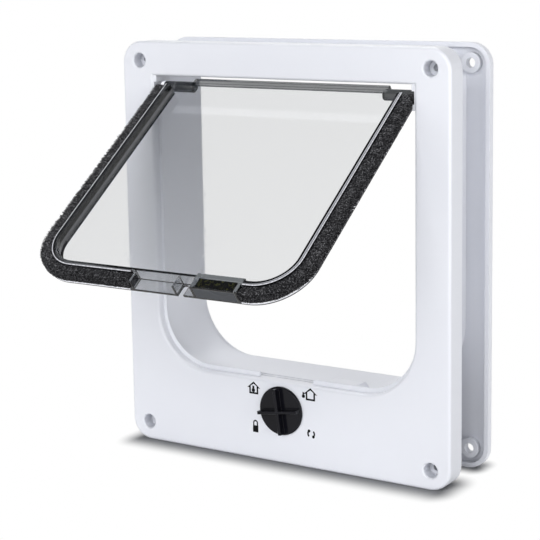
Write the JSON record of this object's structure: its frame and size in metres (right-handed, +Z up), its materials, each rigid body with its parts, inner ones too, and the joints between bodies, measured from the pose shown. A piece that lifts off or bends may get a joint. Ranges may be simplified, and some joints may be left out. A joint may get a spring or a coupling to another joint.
{
  "type": "cat flap",
  "caption": "White cat flap for a door: a front frame with a tunnel, a sliding rear frame, a clear swinging flap edged with pile strips, and a black rotary lock knob.",
  "frame": {"origin": "middle of the four fixing holes, on the plane where the front frame bears on the door", "axes": "+Y through the door, away from the room; +Z up; X across the frame"},
  "size_m": [0.25, 0.2011, 0.28],
  "materials": {
    "white_plastic": "satin moulded white",
    "clear_plastic": "clear, polished",
    "pile": "charcoal brush pile",
    "magnet": "dark ferrite",
    "smoke_plastic": "grey tinted",
    "black_plastic": "satin black",
    "steel": "zinc plated"
  },
  "bodies": {
    "frame": {"front_frame": "white_plastic", "sill_magnet": "magnet", "sill_lid": "white_plastic"},
    "rear": {"rear_frame": "white_plastic"},
    "flap": {"flap": "clear_plastic", "left_brush": "pile", "right_brush": "pile", "flap_magnet": "magnet", "magnet_cover": "smoke_plastic"},
    "lock": {"lock_knob": "black_plastic", "lock_wheel": "white_plastic", "lock_screw": "steel"}
  },
  "joints": [
    {"name": "flap_hinge", "type": "hinge", "parent": "frame", "child": "flap", "pos_m": [0, -0.004, 0.1086], "axis": [1, 0, 0], "range_deg": [-25, 134]},
    {"name": "lock_turn", "type": "hinge", "parent": "frame", "child": "lock", "pos_m": [0, -0.016, -0.1034], "axis": [0, 1, 0], "continuous": true},
    {"name": "rear_slide", "type": "slide", "parent": "frame", "child": "rear", "axis": [0, 1, 0], "range_m": [-0.008, 0.011]}
  ]
}
